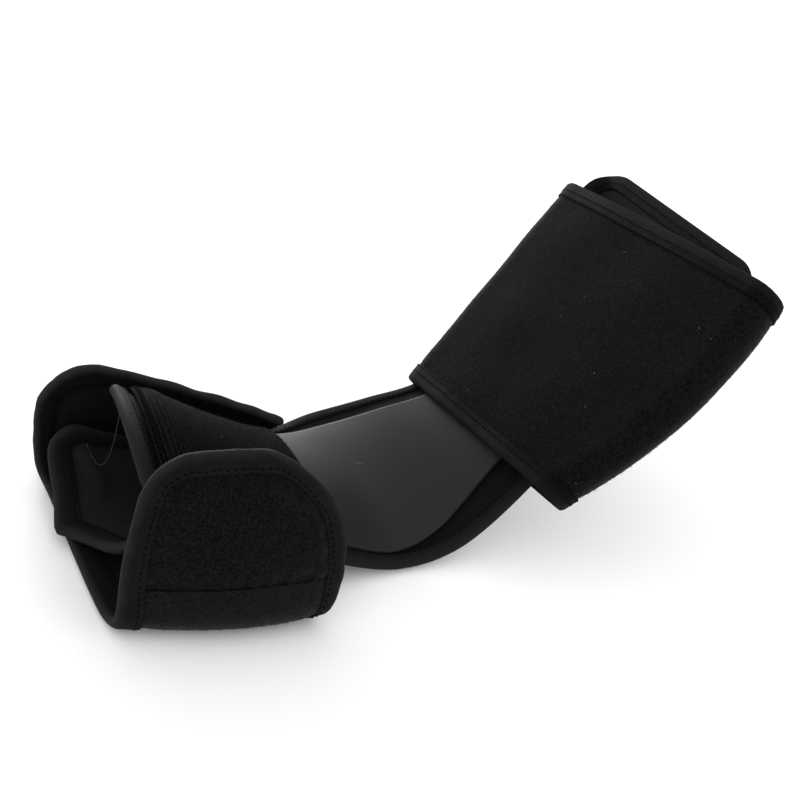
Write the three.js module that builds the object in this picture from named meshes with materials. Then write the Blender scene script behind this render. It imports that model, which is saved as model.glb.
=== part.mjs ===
// A soft night splint for the foot, lying with its outer side up: a padded body bent at the ankle with a rigid
// plate on it, a foot cuff of two wraps under the toe end, and a calf cuff round the leg end.
// Millimetres, +Z up. The toes point to -X, the leg rises to +X, and -Y is the near side.
import * as THREE from 'three';

// Walls
const SEAM_GAP = 0.6;
const LAYER_GAP = 1.1;
const FLOOR_GAP = 0.4;
const TAPE_PROUD = 0.6;
const BODY_WALL = 5;
const PLATE_WALL = 2.5;
const PANEL_WALL = 2.5;
const FOOT_WALL = 5;
const CALF_WALL = 1.8;

// Body: one row for each section from the toe end to the leg end, by its far edge, crown and near edge
const BODY_SECTIONS = [
  { section: 'toe', far: [-114, 55, 59], crown: [-124, 3, 77], near: [-126, -52, 61] },
  { section: 'instep', far: [-70, 41, 26], crown: [-73, 1, 54], near: [-76, -57, 38] },
  { section: 'bend_foot', far: [-21, 51, 12], crown: [-22, 0, 29], near: [-22, -62, 12] },
  { section: 'bend', far: [15, 62, 16], crown: [14, -1, 19], near: [14, -64, 3.2] },
  { section: 'bend_leg', far: [46, 58, 28], crown: [47, -3, 27], near: [46, -65, 10.5] },
  { section: 'shin_low', far: [76, 49, 43], crown: [78, -6, 46], near: [84, -63, 43] },
  { section: 'shin_mid', far: [94, 48, 62], crown: [97, -5, 65], near: [102, -58, 61] },
  { section: 'shin_end', far: [112, 46, 81], crown: [116, -3, 83], near: [120, -53, 79] },
];
const BODY = { width: 122, length: 272, corner: 14, tape: 8, columns: 10, rows: 28 };

// Plate: where it starts and ends along the body, and how far its sides stand in from the body's
const PLATE = {
  start: 22, end: 256, farInset: 18, nearInset: 6.5, farLegInset: 20, nearLegInset: 22, legFrom: 128, legTo: 222,
  corner: 8, columns: 10, rows: 24,
};

// Foot panel: from the toe tape, up over the plate's end, to a curved cut edge on the plate
const FOOT_PANEL = {
  start: 8.8, end: 105, riseEnd: 12, edgeBow: 6, inset: 10, corner: 8, columns: 10, rows: 12,
};

// Outer foot wrap: one row for each line across the strip, by its points at the toe, middle and heel side
const WRAP_FLOOR = FOOT_WALL / 2 + TAPE_PROUD;
const OUTER_WRAP_LINES = [
  { line: 'far_top', toe: [-144, 60, 77], mid: [-77, 61, 53], heel: [0, 66, 13.5] },
  { line: 'far_wall', toe: [-149, 67, 42], mid: [-78, 69, 29], heel: [-4, 69.5, 12] },
  { line: 'far_fold', toe: [-149, 63, 9], mid: [-79, 68, 8], heel: [-5, 67, 7] },
  { line: 'floor_far', toe: [-147, 50, WRAP_FLOOR], mid: [-80, 55, WRAP_FLOOR], heel: [-3, 55, WRAP_FLOOR] },
  { line: 'floor_mid', toe: [-147, 4, WRAP_FLOOR], mid: [-82, -6, WRAP_FLOOR], heel: [-14, -10, WRAP_FLOOR] },
  {
    line: 'floor_near',
    toe: [-146, -54, WRAP_FLOOR], mid: [-87, -71, WRAP_FLOOR], heel: [-48, -73, WRAP_FLOOR],
  },
  { line: 'near_fold', toe: [-144, -66, 9], mid: [-89, -85, 10], heel: [-43, -87, 11] },
  { line: 'near_wall', toe: [-141, -65, 44], mid: [-90, -83, 46], heel: [-38, -84, 43] },
  { line: 'near_top', toe: [-130, -58, 93], mid: [-89, -60, 93], heel: [-48, -64, 88] },
];
const OUTER_WRAP = {
  width: 110, length: 268, toeFarCorner: 36, heelFarCorner: 12, heelNearCorner: 34, toeNearCorner: 20,
  tape: 11, columns: 8, rows: 46,
};

// Inner foot wrap: from under the body's near edge down to a crease on the floor, then up the far wall
const CREASE_HEIGHT = 3 * WRAP_FLOOR + FLOOR_GAP;
const INNER_WRAP_LINES = [
  { line: 'root', toe: [-119, -45, 54.2], mid: [-86, -48, 39.7], heel: [-52, -52, 24.2] },
  { line: 'sag', toe: [-131, -38, 28], mid: [-90, -36, 21], heel: [-54, -36, 15] },
  { line: 'low', toe: [-140, -14, 13], mid: [-96, -6, 11], heel: [-56, -2, 10.5] },
  {
    line: 'crease',
    toe: [-150, 8, CREASE_HEIGHT], mid: [-98, 20, CREASE_HEIGHT], heel: [-58, 34, CREASE_HEIGHT],
  },
  { line: 'rise', toe: [-148, 28, 13.5], mid: [-101, 39, 12.5], heel: [-61, 46, 11.5] },
  { line: 'far_wall', toe: [-146, 50, 26], mid: [-103, 53, 18], heel: [-66, 54, 13] },
  { line: 'end', toe: [-141, 56, 44], mid: [-108, 57, 27], heel: [-68, 58, 16] },
];
const INNER_WRAP = { width: 88, length: 140, corner: 20, rootCorner: 12, tape: 11, columns: 8, rows: 30 };

// Calf cuff: a flattened tube on the rising leg, open at the back, with a flap inside over the opening
const LEG_RISE_DEG = 46;
const CALF = {
  base: [80, -16, 44], skewDeg: 5, height: 158, lowWidth: 143, topWidth: 174, nearBelly: 12,
  lowDepth: 22, topDepth: 25, frontCrown: 2, backReturn: 46, corner: 13, tape: 11, columns: 8, rows: 56,
};
const CALF_FLAP = {
  low: 72, high: 179, width: 150, shift: 12, inside: 3.6, tilt: 0.12, corner: 22, tape: 11,
  columns: 16, rows: 8,
};

// Materials
const plush = new THREE.MeshStandardMaterial({ color: 0x0d0d0e, roughness: 0.95, metalness: 0 });
const lining = new THREE.MeshStandardMaterial({ color: 0x101011, roughness: 0.85, metalness: 0 });
const tape = new THREE.MeshStandardMaterial({ color: 0x151516, roughness: 0.7, metalness: 0 });
const plastic = new THREE.MeshStandardMaterial({ color: 0x2b2b2d, roughness: 0.5, metalness: 0 });

const splint = new THREE.Group();
splint.name = 'night_splint';

const mix = THREE.MathUtils.lerp;
const ease = THREE.MathUtils.smoothstep;

// A form is a function from a flat pattern's place, in millimetres, to a point of the middle of a bent wall.

// A place along a nominal length, laid out on the real one: true near both ends, stretched evenly between
const TRUE_ENDS = 12;
function laidOut(place, nominal, real) {
  if (place <= TRUE_ENDS) return place;
  if (place >= nominal - TRUE_ENDS) return real - (nominal - place);
  return TRUE_ENDS + ((place - TRUE_ENDS) * (real - 2 * TRUE_ENDS)) / (nominal - 2 * TRUE_ENDS);
}

// A smooth line through one named column of a table, with its length up to each row
function railThrough(rows, column) {
  const stepsPerRow = 20;
  const points = rows.map((row) => new THREE.Vector3(...row[column]));
  const curve = new THREE.CatmullRomCurve3(points, false, 'centripetal');
  const lengths = curve.getLengths((rows.length - 1) * stepsPerRow);
  return { curve, marks: rows.map((_, k) => lengths[k * stepsPerRow]) };
}

// A form through three rails, curved like a parabola across them; x runs from the first rail to the third
function threeRailForm(rows, columns, pattern) {
  const rails = columns.map((column) => railThrough(rows, column));
  const weightsAt = (u) => [(2 * u - 1) * (u - 1), 4 * u * (1 - u), u * (2 * u - 1)];
  const shareAlong = (u, y) => {
    const weights = weightsAt(u);
    const marks = rows.map((_, k) => rails.reduce((sum, rail, i) => sum + weights[i] * rail.marks[k], 0));
    const along = THREE.MathUtils.clamp(laidOut(y, pattern.length, marks.at(-1)), 0, marks.at(-1));
    const k = Math.min(marks.findLastIndex((mark) => mark <= along), rows.length - 2);
    return (k + (along - marks[k]) / (marks[k + 1] - marks[k])) / (rows.length - 1);
  };
  return (x, y) => {
    const share = shareAlong(x / pattern.width, y);
    const [first, middle, last] = rails.map((rail) => rail.curve.getPoint(Math.min(share, 1)));
    const real = first.distanceTo(middle) + middle.distanceTo(last);
    const weights = weightsAt(laidOut(x, pattern.width, real) / real);
    first.multiplyScalar(weights[0]);
    return first.addScaledVector(middle, weights[1]).addScaledVector(last, weights[2]);
  };
}

// The outward side of a form at one place of its pattern
function normalAt(form, x, y, pattern) {
  const step = 0.2;
  const alongX = form(Math.min(x + step, pattern.width), y).sub(form(Math.max(x - step, 0), y));
  const alongY = form(x, Math.min(y + step, pattern.length)).sub(form(x, Math.max(y - step, 0)));
  return alongX.cross(alongY).normalize();
}

// The same form, moved out along its normals
function raised(form, pattern, height) {
  return (x, y) => form(x, y).addScaledVector(normalAt(form, x, y, pattern), height);
}

// The same form, flattened where it would sink below a height
function layOnFloor(form, height) {
  return (x, y) => {
    const point = form(x, y);
    point.z = Math.max(point.z, height);
    return point;
  };
}

// One side of a rounded rectangle: half an arc, a straight stretch and half an arc
function sidePoints(from, to, startRadius, endRadius, outward, steps) {
  const arcSteps = 2;
  const direction = to.clone().sub(from).normalize();
  const points = [];
  const arcPoint = (corner, radius, along, turn) => {
    const centre = corner.clone().addScaledVector(along, radius).addScaledVector(outward, -radius);
    centre.addScaledVector(along, -radius * Math.sin(turn));
    return centre.addScaledVector(outward, radius * Math.cos(turn));
  };
  for (let i = 0; i < arcSteps; i += 1) {
    points.push(arcPoint(from, startRadius, direction, (Math.PI / 4) * (1 - i / arcSteps)));
  }
  const straightFrom = from.clone().addScaledVector(direction, startRadius);
  const straightTo = to.clone().addScaledVector(direction, -endRadius);
  const straightSteps = steps - 2 * arcSteps;
  for (let i = 0; i <= straightSteps; i += 1) {
    points.push(straightFrom.clone().lerp(straightTo, i / straightSteps));
  }
  const back = direction.clone().negate();
  for (let i = 1; i <= arcSteps; i += 1) {
    points.push(arcPoint(to, endRadius, back, (Math.PI / 4) * (i / arcSteps)));
  }
  return points;
}

// The four sides of a flat pattern, stepped in by an inset; corners run round from the start of both sides
const LEAST_RADIUS = 1.5;
function patternSides(pattern, inset) {
  const { width, length, corners, columns, rows } = pattern;
  const radii = corners.map((radius) => Math.max(radius - inset, LEAST_RADIUS));
  const low = new THREE.Vector2(inset, inset);
  const high = new THREE.Vector2(width - inset, length - inset);
  const [a, b, c, d] = [low, new THREE.Vector2(high.x, low.y), high, new THREE.Vector2(low.x, high.y)];
  return {
    start: sidePoints(a, b, radii[0], radii[1], new THREE.Vector2(0, -1), columns),
    last: sidePoints(b, c, radii[1], radii[2], new THREE.Vector2(1, 0), rows),
    end: sidePoints(d, c, radii[3], radii[2], new THREE.Vector2(0, 1), columns),
    first: sidePoints(a, d, radii[0], radii[3], new THREE.Vector2(-1, 0), rows),
  };
}

// A grid of flat places that fills a pattern between its four sides
function patternGrid(pattern, inset) {
  const sides = patternSides(pattern, inset);
  const { columns, rows } = pattern;
  const grid = [];
  for (let j = 0; j <= rows; j += 1) {
    const t = j / rows;
    const line = [];
    for (let i = 0; i <= columns; i += 1) {
      const s = i / columns;
      const place = sides.first[j].clone().multiplyScalar(1 - s).addScaledVector(sides.last[j], s);
      place.addScaledVector(sides.start[i], 1 - t).addScaledVector(sides.end[i], t);
      place.addScaledVector(sides.start[0], -(1 - s) * (1 - t));
      place.addScaledVector(sides.start[columns], -s * (1 - t));
      place.addScaledVector(sides.end[0], -(1 - s) * t).addScaledVector(sides.end[columns], -s * t);
      line.push(place);
    }
    grid.push(line);
  }
  return grid;
}

// The closed loop of flat places round a pattern
function patternLoop(pattern, inset) {
  const { start, last, end, first } = patternSides(pattern, inset);
  const forth = [...start.slice(0, -1), ...last.slice(0, -1)];
  return [...forth, ...end.slice(1).reverse(), ...first.slice(1).reverse()];
}

// A wall between the upper and lower copies of a net of places, closed round its rims
function wallGeometry(net, form, pattern, thickness, loops) {
  const rows = net.length;
  const columns = net[0].length;
  const positions = [];
  for (const side of [0.5, -0.5]) {
    for (const line of net) {
      for (const place of line) {
        const point = raised(form, pattern, side * thickness)(place.x, place.y);
        positions.push(point.x, point.y, point.z);
      }
    }
  }
  const at = (j, i, side) => side * rows * columns + (j % rows) * columns + i;
  const index = [];
  const quad = (a, b, c, d) => index.push(a, b, c, a, c, d);
  const lastRow = loops ? rows : rows - 1;
  for (let j = 0; j < lastRow; j += 1) {
    for (let i = 0; i < columns - 1; i += 1) {
      quad(at(j, i, 0), at(j, i + 1, 0), at(j + 1, i + 1, 0), at(j + 1, i, 0));
      quad(at(j, i, 1), at(j + 1, i, 1), at(j + 1, i + 1, 1), at(j, i + 1, 1));
    }
    quad(at(j, 0, 0), at(j + 1, 0, 0), at(j + 1, 0, 1), at(j, 0, 1));
    const rim = columns - 1;
    quad(at(j, rim, 0), at(j, rim, 1), at(j + 1, rim, 1), at(j + 1, rim, 0));
  }
  for (let i = 0; i < columns - 1 && !loops; i += 1) {
    quad(at(0, i, 0), at(0, i, 1), at(0, i + 1, 1), at(0, i + 1, 0));
    quad(at(rows - 1, i, 0), at(rows - 1, i + 1, 0), at(rows - 1, i + 1, 1), at(rows - 1, i, 1));
  }
  const geometry = new THREE.BufferGeometry();
  geometry.setAttribute('position', new THREE.Float32BufferAttribute(positions, 3));
  geometry.setIndex(index);
  geometry.computeVertexNormals();
  return geometry;
}

function addMesh(name, geometry, material) {
  const mesh = new THREE.Mesh(geometry, material);
  mesh.name = name;
  splint.add(mesh);
}

// A cloth or foam panel that fills its pattern inside an inset
function addPanel(name, form, pattern, inset, thickness, material) {
  addMesh(name, wallGeometry(patternGrid(pattern, inset), form, pattern, thickness, false), material);
}

// The tape folded over a panel's edge, all the way round
function addTape(name, form, pattern, panelThickness) {
  const outer = patternLoop(pattern, 0);
  const inner = patternLoop(pattern, pattern.tape);
  const net = inner.map((place, i) => [place, outer[i]]);
  addMesh(name, wallGeometry(net, form, pattern, panelThickness + 2 * TAPE_PROUD, true), tape);
}

function addBoundPanel(panelName, tapeName, form, pattern, thickness, material) {
  addPanel(panelName, form, pattern, pattern.tape + SEAM_GAP, thickness, material);
  addTape(tapeName, form, pattern, thickness);
}

// Body, plate and foot panel; x runs from the far edge to the near edge, y from the toe end up the leg
const bodyForm = threeRailForm(BODY_SECTIONS, ['far', 'crown', 'near'], BODY);
const PLATE_HEIGHT = BODY_WALL / 2 + LAYER_GAP + PLATE_WALL / 2;
const PANEL_TOE_HEIGHT = BODY_WALL / 2 + LAYER_GAP + PANEL_WALL / 2;
const PANEL_HEIGHT = PLATE_HEIGHT + PLATE_WALL / 2 + LAYER_GAP + PANEL_WALL / 2;

function sameCorners(radius) {
  return [radius, radius, radius, radius];
}

function addBody() {
  const pattern = { ...BODY, corners: sameCorners(BODY.corner) };
  addBoundPanel('body_pad', 'body_binding', bodyForm, pattern, BODY_WALL, lining);
}

function addPlate() {
  const { start, end, farInset, nearInset, farLegInset, nearLegInset, legFrom, legTo, corner } = PLATE;
  const width = BODY.width - farInset - nearInset;
  const pattern = { ...PLATE, width, length: end - start, corners: sameCorners(corner) };
  const onBody = raised(bodyForm, BODY, PLATE_HEIGHT);
  const form = (x, y) => {
    const share = ease(start + y, legFrom, legTo);
    const far = mix(farInset, farLegInset, share);
    const near = BODY.width - mix(nearInset, nearLegInset, share);
    return onBody(mix(far, near, x / width), start + y);
  };
  addPanel('shell_plate', form, pattern, 0, PLATE_WALL, plastic);
}

function addFootPanel() {
  const { start, end, riseEnd, edgeBow, inset, corner } = FOOT_PANEL;
  const width = BODY.width - 2 * inset;
  const pattern = { ...FOOT_PANEL, width, length: end - start, corners: sameCorners(corner) };
  const form = (x, y) => {
    const bow = edgeBow * (1 - (2 * x / pattern.width - 1) ** 2);
    const height = mix(PANEL_TOE_HEIGHT, PANEL_HEIGHT, ease(y, 0, riseEnd));
    return raised(bodyForm, BODY, height)(inset + x, start + y * (1 - bow / pattern.length));
  };
  addPanel('foot_panel', form, pattern, 0, PANEL_WALL, plush);
}

// Foot wraps; x runs from the toe side to the heel side
function addFootWraps() {
  const { toeFarCorner, heelFarCorner, heelNearCorner, toeNearCorner } = OUTER_WRAP;
  const outerCorners = [toeFarCorner, heelFarCorner, heelNearCorner, toeNearCorner];
  const outerPattern = { ...OUTER_WRAP, corners: outerCorners };
  const outerRails = threeRailForm(OUTER_WRAP_LINES, ['toe', 'mid', 'heel'], OUTER_WRAP);
  const outerForm = layOnFloor(outerRails, WRAP_FLOOR);
  addBoundPanel('foot_wrap_outer', 'foot_wrap_outer_binding', outerForm, outerPattern, FOOT_WALL, plush);

  const { rootCorner, corner } = INNER_WRAP;
  const innerPattern = { ...INNER_WRAP, corners: [rootCorner, rootCorner, corner, corner] };
  const innerRails = threeRailForm(INNER_WRAP_LINES, ['toe', 'mid', 'heel'], INNER_WRAP);
  const innerForm = layOnFloor(innerRails, CREASE_HEIGHT);
  addBoundPanel('foot_wrap_inner', 'foot_wrap_inner_binding', innerForm, innerPattern, FOOT_WALL, lining);
}

// The leg's own frame: along the leg, across it towards the far side, and out of its front
const NEAR_SIDE = -1;

function legFrame() {
  const rise = THREE.MathUtils.degToRad(LEG_RISE_DEG);
  const along = new THREE.Vector3(Math.cos(rise), 0, Math.sin(rise));
  const out = new THREE.Vector3(-Math.sin(rise), 0, Math.cos(rise));
  along.applyAxisAngle(out, THREE.MathUtils.degToRad(CALF.skewDeg));
  const across = new THREE.Vector3().crossVectors(out, along);
  return { along, across, out, base: new THREE.Vector3(...CALF.base) };
}

function addCalfCuff() {
  const leg = legFrame();
  const place = (along, across, out) => leg.base.clone().addScaledVector(leg.along, along)
    .addScaledVector(leg.across, across).addScaledVector(leg.out, out);

  const meanFold = (CALF.lowDepth + CALF.topDepth) / 4;
  const meanWidth = (CALF.lowWidth + CALF.topWidth) / 2;
  const frontHalf = meanWidth / 2 - meanFold;
  const foldLength = Math.PI * meanFold;
  const wrapLength = 2 * (frontHalf + foldLength + CALF.backReturn);
  const wrapForm = (x, y) => {
    const u = x / CALF.height;
    const fold = mix(CALF.lowDepth, CALF.topDepth, u) / 2;
    const half = mix(CALF.lowWidth, CALF.topWidth, u) / 2 - fold;
    const fromMiddle = y - wrapLength / 2;
    const side = Math.sign(fromMiddle);
    const belly = side === NEAR_SIDE ? CALF.nearBelly * Math.sin(Math.PI * u) : 0;
    const past = Math.abs(fromMiddle) - frontHalf;
    if (past <= 0) {
      const share = Math.abs(fromMiddle) / frontHalf;
      return place(x, side * (half + belly) * share, fold + CALF.frontCrown * (1 - share ** 2));
    }
    if (past <= foldLength) {
      const turn = past / meanFold;
      return place(x, side * (half + belly + fold * Math.sin(turn)), fold * Math.cos(turn));
    }
    return place(x, side * (half + belly - (past - foldLength)), -fold);
  };
  const wrapPattern = { ...CALF, width: CALF.height, length: wrapLength, corners: sameCorners(CALF.corner) };
  addBoundPanel('calf_wrap', 'calf_wrap_binding', wrapForm, wrapPattern, CALF_WALL, plush);

  const { low, high, width, shift, inside, tilt } = CALF_FLAP;
  const flapForm = (x, y) => {
    const along = low + y + tilt * (x - width / 2);
    const across = x - width / 2 + shift;
    const fold = mix(CALF.lowDepth, CALF.topDepth, along / CALF.height) / 2;
    const foldAt = mix(CALF.lowWidth, CALF.topWidth, along / CALF.height) / 2 - fold;
    const radius = fold - inside;
    const turn = Math.max(across - foldAt, 0) / radius;
    return place(along, Math.min(across, foldAt) + radius * Math.sin(turn), -radius * Math.cos(turn));
  };
  const flapPattern = { ...CALF_FLAP, length: high - low, corners: sameCorners(CALF_FLAP.corner) };
  addBoundPanel('calf_back_flap', 'calf_back_flap_binding', flapForm, flapPattern, CALF_WALL, lining);
}

addBody();
addPlate();
addFootPanel();
addFootWraps();
addCalfCuff();

// The origin is on the floor under the middle of the splint
const reach = new THREE.Box3().setFromObject(splint);
const middle = reach.getCenter(new THREE.Vector3());
splint.position.set(-middle.x, -middle.y, -reach.min.z);

export default splint;
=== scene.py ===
"""Dresses a soft night splint that lies outer side up: padded body, plate, foot wraps and calf cuff."""

import logging
import math
from abc import ABC, abstractmethod
from dataclasses import dataclass
from enum import Enum
from typing import Any, Callable, NamedTuple, Sequence

import bpy
import numpy as np
from mathutils import Matrix, Vector


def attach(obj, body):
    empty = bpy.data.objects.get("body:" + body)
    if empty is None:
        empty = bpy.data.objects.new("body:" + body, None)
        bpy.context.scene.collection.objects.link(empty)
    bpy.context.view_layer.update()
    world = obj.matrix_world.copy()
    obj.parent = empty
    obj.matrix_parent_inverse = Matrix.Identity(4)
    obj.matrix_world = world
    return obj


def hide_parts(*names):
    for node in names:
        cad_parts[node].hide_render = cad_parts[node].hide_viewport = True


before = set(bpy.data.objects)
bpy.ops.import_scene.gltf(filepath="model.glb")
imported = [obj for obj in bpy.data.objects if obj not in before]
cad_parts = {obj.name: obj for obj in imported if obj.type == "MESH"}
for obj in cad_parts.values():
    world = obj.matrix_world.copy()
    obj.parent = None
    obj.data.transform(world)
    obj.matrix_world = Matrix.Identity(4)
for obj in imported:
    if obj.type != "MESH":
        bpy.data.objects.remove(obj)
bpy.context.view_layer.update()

LOG = logging.getLogger("night_splint")
Array = np.ndarray
Point = tuple[float, float, float]
Table = dict[str, tuple[Point, Point, Point]]

ROOT = "root"
CLOTH = "cloth"

# Lengths are in millimetres, in a frame whose origin is under the ankle bend, until a mesh is made
MM = 0.001
BEND_IN_ROW = np.array((-30.83, 7.52, 0.0))

# Walls, as in the solids
TAPE_PROUD = 0.6
LAYER_GAP = 1.1
FLOOR_GAP = 0.4
BODY_WALL = 5.0
PLATE_WALL = 2.5
PANEL_WALL = 2.5
FOOT_WALL = 5.0
CALF_WALL = 1.8
WRAP_FLOOR = FOOT_WALL / 2 + TAPE_PROUD
CREASE_HEIGHT = 3 * WRAP_FLOOR + FLOOR_GAP


class Slot(Enum):
    """The record's material slots."""

    PLUSH = "plush"
    LINING = "lining"
    TAPE = "binding_tape"
    PLASTIC = "shell_plastic"


class Face(Enum):
    """The two faces of a wall, by the side of its middle that they lie on."""

    UPPER = 1
    LOWER = -1


class Hold(Enum):
    """How a sheet of cloth is held."""

    FOLDED = "folded"
    LAID = "laid"


# Shader expressions


def operator(operation: str) -> Callable[["Value", "Value | float"], "Value"]:
    """Gives the method for an operator that a Math node carries out."""
    return lambda value, other: value.shader.math(operation, value, other)


class Value:
    """A shader socket that takes part in Python expressions."""

    def __init__(self, shader: "Shader", socket: bpy.types.NodeSocket) -> None:
        """Wraps one output socket of a shader."""
        self.shader = shader
        self.socket = socket

    __add__ = __radd__ = operator("ADD")
    __sub__ = operator("SUBTRACT")
    __mul__ = __rmul__ = operator("MULTIPLY")
    __lt__ = operator("LESS_THAN")
    __gt__ = operator("GREATER_THAN")

    def __rsub__(self, other: float) -> "Value":
        """Takes this value away from a number."""
        return self.shader.math("SUBTRACT", other, self)

    def __abs__(self) -> "Value":
        """Drops the sign."""
        return self.shader.math("ABSOLUTE", self)

    def above_zero(self) -> "Value":
        """Gives zero where this value is below it."""
        return self.shader.math("MAXIMUM", self, 0.0)

    def sine(self) -> "Value":
        """Takes the sine."""
        return self.shader.math("SINE", self)


class Shader:
    """The nodes of one material."""

    def __init__(self, name: str) -> None:
        """Starts a material with a plain surface.

        Args:
            name: The material's name.
        """
        self.material = bpy.data.materials.new(name)
        self.material.use_nodes = True
        self.tree = self.material.node_tree
        self.surface = self.tree.nodes["Principled BSDF"]

    def node(self, kind: str, settings: dict[str, Any], sockets: dict[Any, Any]) -> bpy.types.Node:
        """Adds a node.

        Args:
            kind: The node's type, without its common prefix.
            settings: The node's own settings, which are set first.
            sockets: Values or links for its input sockets, by name or number.

        Returns:
            The new node.
        """
        made = self.tree.nodes.new("ShaderNode" + kind)
        for key, value in settings.items():
            setattr(made, key, value)
        for key, value in sockets.items():
            self.put(made.inputs[key], value)
        return made

    def put(self, socket: bpy.types.NodeSocket, value: Any) -> None:
        """Links a value to a socket, or sets the socket's own number."""
        if isinstance(value, Value):
            self.tree.links.new(value.socket, socket)
        else:
            socket.default_value = value

    def math(self, operation: str, *values: "Value | float") -> Value:
        """Adds a Math node with its inputs in order, and gives its result."""
        made = self.node("Math", {"operation": operation}, dict(enumerate(values)))
        return Value(self, made.outputs[0])

    def mix(self, factor: Value, low: Any, high: Any) -> Value:
        """Mixes two colours, or links to them, by how much there is of the second."""
        made = self.node("Mix", {"data_type": "RGBA"}, {0: factor, 6: low, 7: high})
        return Value(self, made.outputs[2])

    def cloth(self) -> Value:
        """Gives the place on the flat pattern, in millimetres."""
        made = self.node("Attribute", {"attribute_name": CLOTH}, {})
        return Value(self, made.outputs["Vector"])

    def parts(self, vector: Value) -> list[Value]:
        """Splits a vector into its three numbers."""
        made = self.node("SeparateXYZ", {}, {0: vector})
        return [Value(self, socket) for socket in made.outputs]

    def stretched(self, vector: Value, scale: Point) -> Value:
        """Scales a place along each axis."""
        made = self.node("Mapping", {}, {"Vector": vector, "Scale": scale})
        return Value(self, made.outputs[0])

    def noise(self, vector: Value, size: float, detail: float = 2.0) -> Value:
        """Adds noise about 0.5, with clouds of a size in the vector's own unit and some finer layers."""
        made = self.node("TexNoise", {}, {"Vector": vector, "Scale": 1 / size, "Detail": detail})
        return Value(self, made.outputs[0])

    def cells(self, vector: Value, size: float, flat: bool = False) -> tuple[Value, Value]:
        """Adds a pattern of cells.

        Args:
            vector: Where the cells are read.
            size: The size of a cell, in the vector's own unit.
            flat: Whether the cells all lie on the plane, not in space.

        Returns:
            The distance from the nearest cell's middle, in cells, and a number of that cell's own.
        """
        settings = {"voronoi_dimensions": "2D" if flat else "3D"}
        made = self.node("TexVoronoi", settings, {"Vector": vector, "Scale": 1 / size})
        own = self.parts(Value(self, made.outputs["Color"]))[0]
        return Value(self, made.outputs["Distance"]), own

    def bump(self, height: Value, depth: float) -> None:
        """Gives the surface a relief, with its height from 0 to 1 and its depth in millimetres."""
        made = self.node("Bump", {}, {"Height": height, "Distance": depth * MM, "Strength": 1.0})
        self.feed("Normal", Value(self, made.outputs[0]))

    def feed(self, socket: str, value: Any) -> None:
        """Feeds one of the surface's sockets."""
        self.put(self.surface.inputs[socket], value)


def grey(tone: float) -> tuple[float, float, float, float]:
    """Gives a nearly neutral dark colour of that tone."""
    return (tone, tone, tone * 1.03, 1.0)


# Finishes


@dataclass(frozen=True)
class Finish(ABC):
    """What a surface is made of and looks like."""

    name: str
    slot: Slot
    dark: float
    light: float
    roughness: float = 0.7
    specular: float = 0.02
    sheen: float = 0.0

    def material(self) -> bpy.types.Material:
        """Gives the finish's material, made the first time it is asked for."""
        found = bpy.data.materials.get(self.name)
        if found:
            return found
        shader = Shader(self.name)
        shader.feed("Roughness", self.roughness)
        shader.feed("Specular IOR Level", self.specular)
        shader.feed("Sheen Weight", self.sheen)
        self.paint(shader)
        return shader.material

    def toned(self, shader: Shader, tone: Value) -> Value:
        """Gives the colour for a tone, from 0 at its darkest to 1 at its lightest."""
        return shader.mix(tone, grey(self.dark), grey(self.light))

    @abstractmethod
    def paint(self, shader: Shader) -> None:
        """Paints the surface."""


@dataclass(frozen=True)
class Plush(Finish):
    """Brushed loop pile: matt, finely grained, with a soft sheen, a few specks of lint and maybe one seam,
    with painted bounce light on the cloth below it.
    """

    name: str = "plush_cloth"
    slot: Slot = Slot.PLUSH
    dark: float = 0.0004
    light: float = 0.0088
    roughness: float = 0.92
    sheen: float = 0.12
    sheen_roughness: float = 0.38
    loop: float = 0.72
    patch: float = 34.0
    depth: float = 0.4
    lint: float = 0.12
    lint_cell: float = 17.0
    lint_radius: float = 0.018
    lint_share: float = 0.86
    ribs: float = 0.0
    rib_pitch: float = 2.4
    rib_fade: float = 22.0
    seam_at: float | None = None
    seam_width: float = 1.6
    # how much painted bounce light lightens the cloth below the seam
    below_seam_bounce_light: float = 0.2

    def paint(self, shader: Shader) -> None:
        """Paints the surface."""
        place = shader.cloth()
        loops, own = shader.cells(place, self.loop)
        fuzz = shader.noise(place, self.loop * 0.6, 3.0)
        patches = shader.noise(place, self.patch, 1.0)
        along = shader.parts(place)[1]
        tone = own * 0.75 + fuzz * 0.5 + patches * 0.25 - 0.25
        if self.seam_at is not None:
            off_seam = abs(along + fuzz * 0.6 - self.seam_at)
            # painted light: the cloth below the seam is lightened as if lit by light bounced off the floor
            tone = tone + (along < self.seam_at) * self.below_seam_bounce_light
            tone = tone - (1 - off_seam * (2 / self.seam_width)).above_zero() * 1.2
        height = fuzz * 0.6 - loops * 0.7
        if self.ribs:
            near_edge = (1 - along * (1 / self.rib_fade)).above_zero()
            ribs = (along * (math.tau / self.rib_pitch)).sine() * near_edge * self.ribs
            height = height + ribs
            tone = tone + ribs * 0.6
        distance, own_lint = shader.cells(place, self.lint_cell, flat=True)
        specks = (distance < self.lint_radius) * (own_lint > self.lint_share)
        shader.feed("Base Color", shader.mix(specks, self.toned(shader, tone), grey(self.lint)))
        shader.feed("Sheen Roughness", self.sheen_roughness)
        shader.bump(height, self.depth)


@dataclass(frozen=True)
class Nap(Finish):
    """The loose fibre ends that stand up from the pile."""

    name: str = "plush_nap"
    slot: Slot = Slot.PLUSH
    dark: float = 0.004
    light: float = 0.013
    roughness: float = 0.8
    specular: float = 0.04
    patch: float = 0.9

    def paint(self, shader: Shader) -> None:
        """Paints the surface."""
        shader.feed("Base Color", self.toned(shader, shader.noise(shader.cloth(), self.patch, 1.0)))


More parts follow.
